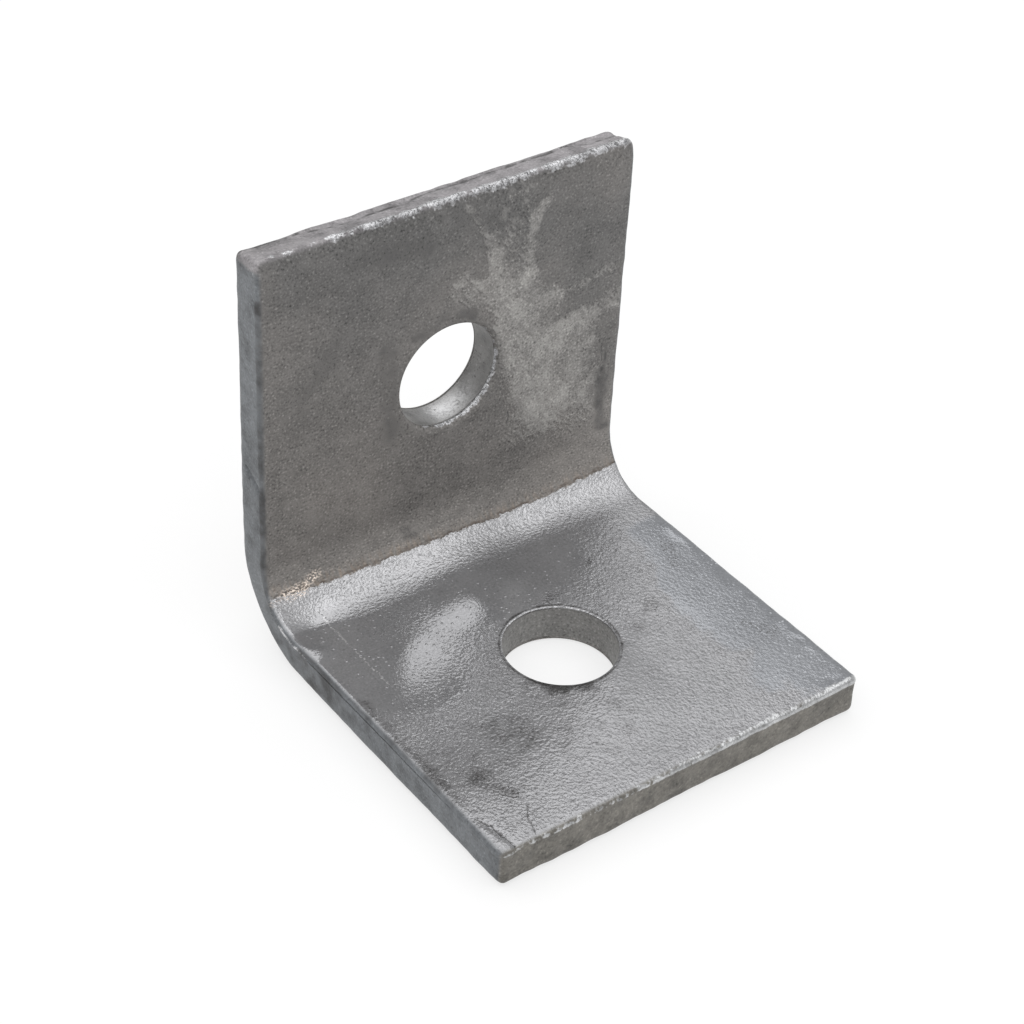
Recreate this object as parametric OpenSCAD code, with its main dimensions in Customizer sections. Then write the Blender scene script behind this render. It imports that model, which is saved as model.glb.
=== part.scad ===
// L-bracket: a short length of flat steel bar, bent once to a right angle,
// with one punched bolt hole in each leg, galvanised all over after bending.
// Units are millimetres. The origin is where the base hole's axis meets the
// underside. +X runs across the bar, the base runs to -Y, the upright stands
// along +Z at the back.

/* [Bar] */
// Width of the flat bar
bar_w = 50; // [36:0.5:70]
// Thickness of the flat bar, zinc included
bar_t = 4.9; // [4:0.1:6]
// Rounding of the long edges on the inside of the bend
edge_in_r = 0.6; // [0.2:0.1:1]
// Rounding of the long edges on the outside of the bend
edge_out_r = 1; // [0.2:0.1:1.5]

/* [Legs] */
// Height of the upright at its back face
upright_h = 50.6; // [46:0.1:90]
// Length of the base over its outer faces
base_l = 51; // [46:0.1:90]
// Rounding of the four cut corners, seen square on to a leg
corner_r = 1; // [0.3:0.1:4]

/* [Bend] */
// Inside radius of the bend
bend_r = 7; // [4:0.1:8]

/* [Cut ends] */
// Rise of the upright's slanting cut from its outer to its inner face
upright_end_rise = 0.9; // [0:0.1:1.5]
// Height over which the shear drew the inner face back below that cut
upright_draw_h = 2.5; // [1:0.1:3]
// Rounding of the inner face where it is drawn back
upright_draw_r = 4.5; // [4:0.1:8]
// Edge on the inside of the upright's end
upright_end_in_r = 0.4; // [0.2:0.1:0.8]
// Edge on the outside of the upright's end
upright_end_out_r = 0.5; // [0.2:0.1:1.4]
// Edge on the inside of the base's end
base_end_in_r = 0.5; // [0.2:0.1:1.4]
// Edge on the underside of the base's end
base_end_out_r = 0.7; // [0.2:0.1:1.4]

/* [Bolt holes] */
// Width of both holes
hole_d = 13.7; // [6:0.1:16]
// Middle of the upright's hole above the underside
upright_hole_z = 28.4; // [25:0.1:34]
// Middle of the base's hole in front of the upright's back face
base_hole_y = 28.1; // [25:0.1:34]
// Rim drawn in by the punch at the upright's hole
upright_rim_r = 0.5; // [0.2:0.1:1.2]
// Rim drawn in by the punch at the base's hole
base_rim_r = 0.4; // [0.2:0.1:1.2]

/* [Hidden] */
// Facets of a full circle in the preview
$fn = 96;
// Reach of a cutter past the face that it cuts
past = 1;
// Quarter turn of the bend
quarter = 90;
// Outside radius of the bend
bend_out_r = bend_r + bar_t;
// Straight part of the upright, from the bend to the cut end
upright_straight = upright_h - bend_out_r;
// Straight part of the base, from the bend to the cut end
base_straight = base_l - bend_out_r;
// Back face of the upright, along Y
back_y = base_hole_y;
// Middle of the bend, along Y
bend_y = back_y - bend_out_r;
// Radius of both holes
hole_r = hole_d / 2;
// Slope of the upright's cut, as a ratio and as an angle
cut_ratio = upright_end_rise / bar_t;
cut_angle = atan(cut_ratio);
// Middle of the drawn rounding: depth from the outer face, and height in the leg
draw_u = bar_t - upright_draw_r;
draw_v = upright_straight + upright_end_rise - upright_draw_h;
// Height, at the outer face, of the line on which the inner edge's middle lies
edge_line = upright_straight - upright_end_in_r / cos(cut_angle);
// Middle of the inner edge's rounding: on that line, and touching the drawn
// rounding from inside, which gives a square equation for its depth
edge_gap = edge_line - draw_v;
edge_reach = upright_draw_r - upright_end_in_r;
edge_a = 1 + pow(cut_ratio, 2);
edge_b = cut_ratio * edge_gap - draw_u;
edge_c = pow(draw_u, 2) + pow(edge_gap, 2) - pow(edge_reach, 2);
edge_u = (sqrt(pow(edge_b, 2) - edge_a * edge_c) - edge_b) / edge_a;
edge_v = edge_line + cut_ratio * edge_u;
// Direction in which that rounding touches the drawn one
edge_angle = atan2(edge_v - draw_v, edge_u - draw_u);
// Height of the middle of the outer edge's rounding
back_edge_v = upright_straight + cut_ratio * upright_end_out_r - upright_end_out_r / cos(cut_angle);

// What a rounding of radius r takes off a square corner at the origin
module corner_waste(r) {
    difference() {
        square(r);
        translate([r, r])
            circle(r);
    }
}

// Rectangle from the origin with its own rounding at each corner, in the
// order left bottom, right bottom, right top, left top; 0 leaves it square
module rounded_rectangle(w, h, radii) {
    places = [[0, 0], [w, 0], [w, h], [0, h]];
    difference() {
        square([w, h]);
        for (i = [0:len(places) - 1])
            if (radii[i] > 0)
                translate(places[i])
                    rotate(quarter * i)
                        corner_waste(radii[i]);
    }
}

// Cross-section of the bar: width along X, outer face at y = 0, inner face
// at y = bar_t
module bar_section() {
    translate([-bar_w / 2, 0])
        rounded_rectangle(bar_w, bar_t, [edge_out_r, edge_out_r, edge_in_r, edge_in_r]);
}

// Unit direction at an angle
function toward(angle) = [cos(angle), sin(angle)];

// What lies outside a rounding of radius r between the directions a and b,
// seen from the rounding's middle
module outside_rounding(middle, r, a, b) {
    far = 3 * r;
    translate(middle)
        difference() {
            polygon([[0, 0], far * toward(a), far * toward((a + b) / 2), far * toward(b)]);
            circle(r);
        }
}

// Side view of the upright's straight part: depth from the outer face along
// X, height along Y, with the slanting cut and the drawn inner face at the top
module upright_profile() {
    difference() {
        polygon([[0, 0], [bar_t, 0], [bar_t, upright_straight + upright_end_rise], [0, upright_straight]]);
        outside_rounding([draw_u, draw_v], upright_draw_r, 0, 90);
        outside_rounding([edge_u, edge_v], upright_end_in_r, edge_angle, 90 + cut_angle);
        outside_rounding([upright_end_out_r, back_edge_v], upright_end_out_r, 90 + cut_angle, 180);
    }
}

// Side view of the base's straight part, with a square cut
module base_profile() {
    rounded_rectangle(bar_t, base_straight, [0, 0, base_end_in_r, base_end_out_r]);
}

// Straight leg standing on z = 0, with the outer face at y = 0 and the cut
// end at the top; its side view is the child
module leg(length) {
    intersection() {
        linear_extrude(length)
            bar_section();
        translate([-bar_w / 2, bar_t + past, 0])
            rotate([90, 0, 0])
                linear_extrude(bar_t + 2 * past)
                    rounded_rectangle(bar_w, length, [0, 0, corner_r, corner_r]);
        translate([-bar_w / 2 - past, 0, 0])
            rotate([90, 0, 90])
                linear_extrude(bar_w + 2 * past)
                    children();
    }
}

// Quarter turn that joins the two legs, about an axis along X
module bend() {
    rotate([0, 90, 0])
        rotate_extrude(angle = quarter)
            translate([bend_out_r, 0])
                rotate(quarter)
                    bar_section();
}

// Space of a hole punched along Z from the inner face at z = bar_t: a
// straight wall and a rim drawn in at the inner face
module punched_hole(rim_r) {
    rotate_extrude()
        difference() {
            union() {
                translate([0, -past])
                    square([hole_r, bar_t + 2 * past]);
                translate([0, bar_t - rim_r])
                    square([hole_r + rim_r, rim_r + past]);
            }
            translate([hole_r + rim_r, bar_t - rim_r])
                circle(rim_r);
        }
}

// The whole bracket, in one piece
module bracket() {
    color("#8d9092")
        difference() {
            union() {
                translate([0, back_y, bend_out_r])
                    rotate([0, 0, 180])
                        leg(upright_straight + upright_end_rise)
                            upright_profile();
                translate([0, bend_y, bend_out_r])
                    bend();
                translate([0, bend_y, 0])
                    rotate([90, 0, 0])
                        leg(base_straight)
                            base_profile();
            }
            translate([0, back_y, upright_hole_z])
                rotate([90, 0, 0])
                    punched_hole(upright_rim_r);
            punched_hole(base_rim_r);
        }
}

bracket();
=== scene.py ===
"""Looks of a small galvanised L-bracket: a bent steel bar under a lumpy coat of zinc.

The bar is meshed flat, with both punched holes in it, bent like the real one, and then
given the waves, pits, laps and runs that hot zinc leaves. All sizes are in millimetres
until a mesh is written, and they are those of the solid.
"""

import logging
import math
from dataclasses import dataclass, field
from enum import Enum

import bpy
import numpy as np
from mathutils import Matrix, Vector, noise


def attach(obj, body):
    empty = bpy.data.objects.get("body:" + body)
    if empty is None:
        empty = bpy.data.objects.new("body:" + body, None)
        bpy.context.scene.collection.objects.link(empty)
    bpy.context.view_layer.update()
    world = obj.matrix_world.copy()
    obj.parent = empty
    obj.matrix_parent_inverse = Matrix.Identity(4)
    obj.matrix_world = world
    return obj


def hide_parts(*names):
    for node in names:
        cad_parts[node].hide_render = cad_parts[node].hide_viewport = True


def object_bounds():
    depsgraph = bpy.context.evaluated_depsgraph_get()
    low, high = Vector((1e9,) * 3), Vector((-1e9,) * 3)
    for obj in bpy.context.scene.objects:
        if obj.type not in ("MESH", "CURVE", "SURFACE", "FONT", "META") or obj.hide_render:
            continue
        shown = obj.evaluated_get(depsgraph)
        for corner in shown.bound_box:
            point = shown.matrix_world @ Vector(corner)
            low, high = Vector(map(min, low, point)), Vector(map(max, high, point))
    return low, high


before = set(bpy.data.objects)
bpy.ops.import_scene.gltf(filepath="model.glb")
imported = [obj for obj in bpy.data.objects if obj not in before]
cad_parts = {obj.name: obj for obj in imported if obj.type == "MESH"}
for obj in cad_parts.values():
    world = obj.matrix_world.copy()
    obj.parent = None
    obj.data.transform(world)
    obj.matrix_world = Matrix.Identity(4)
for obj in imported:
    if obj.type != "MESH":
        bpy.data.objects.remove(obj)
cad_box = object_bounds()

LOG = logging.getLogger("l_bracket")
MM = 0.001
Array = np.ndarray
Points = tuple[tuple[float, float], ...]


class Skin(Enum):
    """The four kinds of surface that the bar has."""

    INNER = 0
    OUTER = 1
    RIM = 2
    BORE = 3


def linear(hex_colour: str) -> tuple[float, float, float, float]:
    """Turns an sRGB hex colour into linear light.

    Args:
        hex_colour: Colour such as "#8d9092".

    Returns:
        Linear red, green, blue and an alpha of one.
    """
    parts = [int(hex_colour[i:i + 2], 16) / 255 for i in (1, 3, 5)]
    light = [c / 12.92 if c <= 0.04045 else ((c + 0.055) / 1.055) ** 2.4 for c in parts]
    return (*light, 1.0)


def smooth_step(low: float, high: float, value: Array) -> Array:
    """Rises smoothly from 0 at low to 1 at high.

    Args:
        low: Value where the rise starts.
        high: Value where it ends.
        value: Values to read.

    Returns:
        The rise at each value.
    """
    x = np.clip((value - low) / (high - low), 0.0, 1.0)
    return x * x * (3.0 - 2.0 * x)


def waves(places: Array, size: float, seed: float) -> Array:
    """Reads smooth noise of one size.

    Args:
        places: Points, one to a row.
        size: Width of a wave, in the same unit as the points.
        seed: Offset that picks another part of the noise.

    Returns:
        Noise from about -1 to 1 at each point.
    """
    rows = (places / size + seed).tolist()
    return np.array([noise.noise(row) for row in rows])


def spaced(start: float, stop: float, step: float) -> Array:
    """Places lines evenly from start to stop, about step apart."""
    return np.linspace(start, stop, max(1, round((stop - start) / step)) + 1)


@dataclass(frozen=True)
class BentBar:
    """Sizes of the bar, and the way from the flat bar to the bent one.

    A flat place is along the bar from the upright's cut end, across it from its middle
    line, and deep into it from the outer face. Pairs name the upright, then the base.
    """

    width: float = 50.0
    thickness: float = 4.9
    legs: tuple[float, float] = (50.6, 51.0)
    cut_rise: float = 0.9
    draw_high: float = 2.5
    draw_r: float = 4.5
    bend_r: float = 7.0
    hole_r: float = 6.85
    holes_from_outside: tuple[float, float] = (28.4, 28.1)
    corner_r: float = 0.9
    edge_in_r: float = 0.6
    edge_out_r: float = 1.0
    ends_in_r: tuple[float, float] = (0.4, 0.5)
    ends_out_r: tuple[float, float] = (0.5, 0.7)
    rims_in_r: tuple[float, float] = (0.5, 0.1)
    bore_zinc: tuple[float, float] = (0.1, 0.15)
    rim_out_r: float = 0.25

    @property
    def bend_out_r(self) -> float:
        """Outside radius of the bend."""
        return self.bend_r + self.thickness

    @property
    def straights(self) -> tuple[float, float]:
        """Straight part of each leg."""
        return self.legs[0] - self.bend_out_r, self.legs[1] - self.bend_out_r

    @property
    def arc(self) -> float:
        """Length of the bend at half the bar's thickness."""
        return (self.bend_r + self.thickness / 2) * math.pi / 2

    @property
    def length(self) -> float:
        """Length of the flat bar."""
        return sum(self.straights) + self.arc

    @property
    def holes_from_ends(self) -> tuple[float, float]:
        """Distance of each hole from the cut end of its leg."""
        return self.legs[0] - self.holes_from_outside[0], self.legs[1] - self.holes_from_outside[1]

    @property
    def holes(self) -> tuple[float, float]:
        """Places of both holes along the flat bar."""
        return self.holes_from_ends[0], self.length - self.holes_from_ends[1]

    def place(self, along: Array, across: Array, deep: Array) -> Array:
        """Bends flat places.

        Args:
            along: Distance from the upright's cut end.
            across: Distance from the middle line.
            deep: Distance from the outer face.

        Returns:
            Points in the part's frame, in millimetres, one to a row.
        """
        first = self.straights[0]
        turn = np.clip((along - first) / self.arc, 0.0, 1.0) * math.pi / 2
        up = np.clip(first - along, 0.0, None)
        out = np.clip(along - first - self.arc, 0.0, None)
        reach = self.bend_out_r - deep
        y = self.holes_from_outside[1] - self.bend_out_r + reach * np.cos(turn) - out
        z = self.bend_out_r - reach * np.sin(turn) + up
        return np.column_stack([across, y, z])


@dataclass
class BarGrid:
    """Quads that cover the flat bar and close round each hole.

    Lines crowd towards edges and rims, so that their roundings come out round.
    """

    bar: BentBar
    step: float = 0.37
    crowd: tuple[float, ...] = (0.0, 0.05, 0.16, 0.33, 0.55, 0.85, 1.25)
    collar: float = 10.0
    collar_cells: int = 54
    collar_rings: int = 10
    along: Array = field(init=False)
    across: Array = field(init=False)
    rim: Array = field(init=False)
    hole: Array = field(init=False)
    quads: Array = field(init=False)
    border: Array = field(init=False)
    mouths: list[Array] = field(init=False)

    def __post_init__(self) -> None:
        """Lays out the lines, then the collars round the holes."""
        half, near = self.bar.width / 2, self.crowd[-1]
        first, second = self.bar.holes
        edge = np.array(self.crowd)
        inner = np.linspace(-self.collar, self.collar, self.collar_cells + 1)
        left = np.concatenate([edge - half, spaced(near - half, -self.collar, self.step)[1:]])
        x_lines = np.concatenate([left, inner[1:-1], -left[::-1]])
        ends = [np.concatenate([edge, spaced(near, far - self.collar, self.step)[1:], far + inner[1:]])
                for far in self.bar.holes_from_ends]
        middle = spaced(first + self.collar, second - self.collar, self.step)
        s_lines = np.concatenate([ends[0], middle[1:-1], self.bar.length - ends[1][::-1]])
        self._lay(s_lines, x_lines)

    def _lay(self, s_lines: Array, x_lines: Array) -> None:
        """Makes the quads from the lines.

        Args:
            s_lines: Places of the lines along the bar.
            x_lines: Places of the lines across it.
        """
        rows, cols = len(s_lines), len(x_lines)
        ids = np.arange(rows * cols).reshape(rows, cols)
        s_all, x_all = (g.ravel() for g in np.meshgrid(s_lines, x_lines, indexing="ij"))
        cells = np.ones((rows - 1, cols - 1), bool)
        x0 = int(np.argmin(abs(x_lines + self.collar)))
        x1 = x0 + self.collar_cells
        extra_s, extra_x, extra_rim, extra_hole = [], [], [], []
        quads, mouths = [], []
        count = rows * cols
        for number, centre in enumerate(self.bar.holes):
            s0 = int(np.argmin(abs(s_lines - centre + self.collar)))
            s1 = s0 + self.collar_cells
            cells[s0:s1, x0:x1] = False
            loop = np.concatenate([ids[s0, x0:x1], ids[s0:s1, x1], ids[s1, x1:x0:-1], ids[s1:s0:-1, x0]])
            ds, dx = s_all[loop] - centre, x_all[loop]
            far = np.hypot(ds, dx)
            reach = far - self.bar.hole_r
            near = self.crowd[-1]
            steps = [np.full_like(reach, c) for c in self.crowd]
            steps += [near + (reach - near) * k / self.collar_rings for k in range(1, self.collar_rings)]
            rings = []
            for gap in steps:
                r = (self.bar.hole_r + gap) / far
                extra_s.append(centre + ds * r)
                extra_x.append(dx * r)
                extra_rim.append(gap)
                extra_hole.append(np.full(len(loop), number))
                rings.append(np.arange(count, count + len(loop)))
                count += len(loop)
            mouths.append(rings[0])
            for a, b in zip(rings, rings[1:] + [loop]):
                quads.append(np.column_stack([a, b, np.roll(b, -1), np.roll(a, -1)]))
        a, b = ids[:-1, :-1][cells], ids[:-1, 1:][cells]
        c, d = ids[1:, 1:][cells], ids[1:, :-1][cells]
        quads.insert(0, np.column_stack([a, b, c, d]))
        used, flat = np.unique(np.concatenate(quads), return_inverse=True)
        new = np.full(count, -1)
        new[used] = np.arange(len(used))
        none = np.full(rows * cols, 1e3)
        self.along = np.concatenate([s_all] + extra_s)[used]
        self.across = np.concatenate([x_all] + extra_x)[used]
        self.rim = np.concatenate([none] + extra_rim)[used]
        self.hole = np.concatenate([np.full(rows * cols, -1)] + extra_hole)[used].astype(int)
        self.quads = flat.reshape(-1, 4)
        border = np.concatenate([ids[0, :-1], ids[:-1, -1], ids[-1, :0:-1], ids[:0:-1, 0]])
        self.border = new[border]
        self.mouths = [new[m] for m in mouths]


@dataclass
class BarShell:
    """The bar's closed skin, still flat: both faces, the rim and the bores."""

    grid: BarGrid
    levels: int = 14
    along: Array = field(init=False)
    across: Array = field(init=False)
    deep: Array = field(init=False)
    edge: Array = field(init=False)
    rim: Array = field(init=False)
    skin: Array = field(init=False)
    quads: Array = field(init=False)
    maps: Array = field(init=False)

    def __post_init__(self) -> None:
        """Rounds the edges, then joins the two faces by their walls."""
        bar, grid = self.grid.bar, self.grid
        along, across, edge, r_in, r_out = self._rounded_outline()
        way = (grid.across + grid.along - bar.holes[0]) / (math.sqrt(2) * bar.hole_r)
        rim_in = np.where(grid.hole == 1, bar.rims_in_r[1], bar.rims_in_r[0] * (1 + 0.5 * np.clip(way, -1, 1)))
        drop_in = self._drop(edge, r_in) + self._drop(grid.rim, rim_in)
        drop_out = self._drop(edge, r_out) + self._drop(grid.rim, np.full_like(edge, bar.rim_out_r))
        count = len(along)
        deep_in, deep_out = bar.thickness - drop_in, drop_out
        cols = {
            "along": [along, along], "across": [across, across], "deep": [deep_in, deep_out],
            "edge": [edge, edge], "rim": [grid.rim, grid.rim],
            "skin": [np.full(count, Skin.INNER.value), np.full(count, Skin.OUTER.value)],
        }
        quads = [grid.quads[:, ::-1], grid.quads + count]
        lay = np.column_stack([grid.across + bar.width / 2, grid.along])
        shift = np.array([bar.width + 2.0, 0.0])
        maps = [lay[quads[0]], lay[grid.quads] + shift]
        total = 2 * count
        corner = np.array([2 * bar.width + 4.0, 0.0])
        for loop, kind in [(grid.border, Skin.RIM)] + [(m, Skin.BORE) for m in grid.mouths]:
            rings = [loop]
            for k in range(1, self.levels):
                part = k / self.levels
                cols["along"].append(along[loop])
                cols["across"].append(across[loop])
                cols["deep"].append(deep_in[loop] * (1 - part) + deep_out[loop] * part)
                cols["edge"].append(edge[loop])
                cols["rim"].append(grid.rim[loop])
                cols["skin"].append(np.full(len(loop), kind.value))
                rings.append(np.arange(total, total + len(loop)))
                total += len(loop)
            rings.append(loop + count)
            run = np.concatenate([[0.0], np.cumsum(np.hypot(
                np.diff(along[np.append(loop, loop[0])]), np.diff(across[np.append(loop, loop[0])])))])
            for k, (a, b) in enumerate(zip(rings, rings[1:])):
                quads.append(np.column_stack([a, np.roll(a, -1), np.roll(b, -1), b]))
                low, high = (bar.thickness * v / self.levels for v in (k, k + 1))
                start, stop = run[:-1], run[1:]
                strip = np.stack([
                    np.column_stack([np.full_like(start, low), start]),
                    np.column_stack([np.full_like(start, low), stop]),
                    np.column_stack([np.full_like(start, high), stop]),
                    np.column_stack([np.full_like(start, high), start])], axis=1)
                maps.append(self._fold(strip, bar.length) + corner)
            corner = corner + np.array([4 * (bar.thickness + 1.0), 0.0])
        for name, parts in cols.items():
            setattr(self, name, np.concatenate(parts))
        self._slant_cut()
        self._line_bores()
        self.quads = np.concatenate(quads)
        flat = np.concatenate(maps)
        self.maps = flat / (flat.max() * 1.01)

    def _slant_cut(self) -> None:
        """Slants the upright's cut end and draws its inner face back, as the shear did."""
        bar = self.grid.bar
        share = self.deep / bar.thickness
        near = 1 - smooth_step(0.0, 9.0, self.along)
        self.along = self.along - bar.cut_rise * share * near
        above = np.clip(bar.draw_high - bar.cut_rise - self.along, 0.0, bar.draw_high)
        self.deep = self.deep - share**2 * (bar.draw_r - np.sqrt(bar.draw_r**2 - above**2))

    def _line_bores(self) -> None:
        """Narrows both holes by the zinc that stayed in them as the bracket drained."""
        bar = self.grid.bar
        near = 1 - smooth_step(0.0, 2.5, self.rim)
        for middle, lining in zip(bar.holes, bar.bore_zinc):
            ahead = self.along - middle
            far = np.maximum(np.hypot(self.across, ahead), 1e-6)
            pull = lining * near * (far < 2 * bar.hole_r) / far
            self.across = self.across * (1 - pull)
            self.along = self.along - pull * ahead

    def _fold(self, strip: Array, tall: float) -> Array:
        """Lays a long strip as columns side by side, each as tall as the bar is long.

        Args:
            strip: Map corners of each quad, with the run along the strip second.
            tall: Height of a column.

        Returns:
            The corners in their columns.
        """
        column = np.floor(strip[:, :1, 1] / tall + 1e-6)
        out = strip.copy()
        out[:, :, 0] += column * (self.grid.bar.thickness + 1.0)
        out[:, :, 1] -= column * tall
        return out

    def _rounded_outline(self) -> tuple[Array, Array, Array, Array, Array]:
        """Rounds the four cut corners of the flat outline.

        Returns:
            Places along and across, distance to the outline, and the edge rounding
            wanted there on the inner and on the outer face.
        """
        bar, grid = self.grid.bar, self.grid
        c, half = bar.corner_r, bar.width / 2
        from_side = half - abs(grid.across)
        from_end = np.minimum(grid.along, bar.length - grid.along)
        u = np.clip(1 - from_side / c, 0.0, 1.0)
        v = np.clip(1 - from_end / c, 0.0, 1.0)
        u2, v2 = u * np.sqrt(1 - v * v / 2), v * np.sqrt(1 - u * u / 2)
        across = np.sign(grid.across) * (half - np.where(u > 0, c * (1 - u2), from_side))
        new_end = np.where(v > 0, c * (1 - v2), from_end)
        along = np.where(grid.along < bar.length / 2, new_end, bar.length - new_end)
        edge = c * (1 - np.hypot(u2, v2))
        edge = np.where((u > 0) | (v > 0), edge, np.minimum(from_side, from_end))
        share = np.where(u2 + v2 > 0, u2**2 / np.maximum(u2**2 + v2**2, 1e-9), 1.0)
        far = grid.along > bar.length / 2
        end_in = np.where(far, bar.ends_in_r[1], bar.ends_in_r[0])
        end_out = np.where(far, bar.ends_out_r[1], bar.ends_out_r[0])
        r_in = share * bar.edge_in_r + (1 - share) * end_in
        r_out = share * bar.edge_out_r + (1 - share) * end_out
        return along, across, edge, r_in, r_out

    @staticmethod
    def _drop(gap: Array, radius: Array) -> Array:
        """Says how far a rounding of that radius falls away at a gap from its edge."""
        inside = np.clip(radius - gap, 0.0, None)
        return radius - np.sqrt(np.clip(radius**2 - inside**2, 0.0, None))


@dataclass(frozen=True)
class Stroke:
    """A mark along a line on the flat bar's inner face, as (across, along) points."""

    points: Points
    half_width: float
    strength: float = 1.0

    def gap(self, across: Array, along: Array) -> Array:
        """Measures the distance from each place to the line.

        Args:
            across: Places across the bar.
            along: Places along it.

        Returns:
            Distances in millimetres.
        """
        best = np.full(len(along), 1e9)
        here = np.column_stack([across, along])
        for a, b in zip(self.points, self.points[1:]):
            start, step = np.array(a), np.array(b) - np.array(a)
            t = np.clip((here - start) @ step / max(step @ step, 1e-9), 0.0, 1.0)
            best = np.minimum(best, np.linalg.norm(here - start - t[:, None] * step, axis=1))
        return best

    def mask(self, across: Array, along: Array, wobble: Array) -> Array:
        """Says how strongly the mark shows at each place.

        Args:
            across: Places across the bar.
            along: Places along it.
            wobble: Distance by which the mark's border strays.

        Returns:
            Strength at each place.
        """
        gap = self.gap(across, along) + wobble * min(1.0, self.half_width)
        return self.strength * (1 - smooth_step(0.3 * self.half_width, 1.4 * self.half_width, gap))


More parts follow.
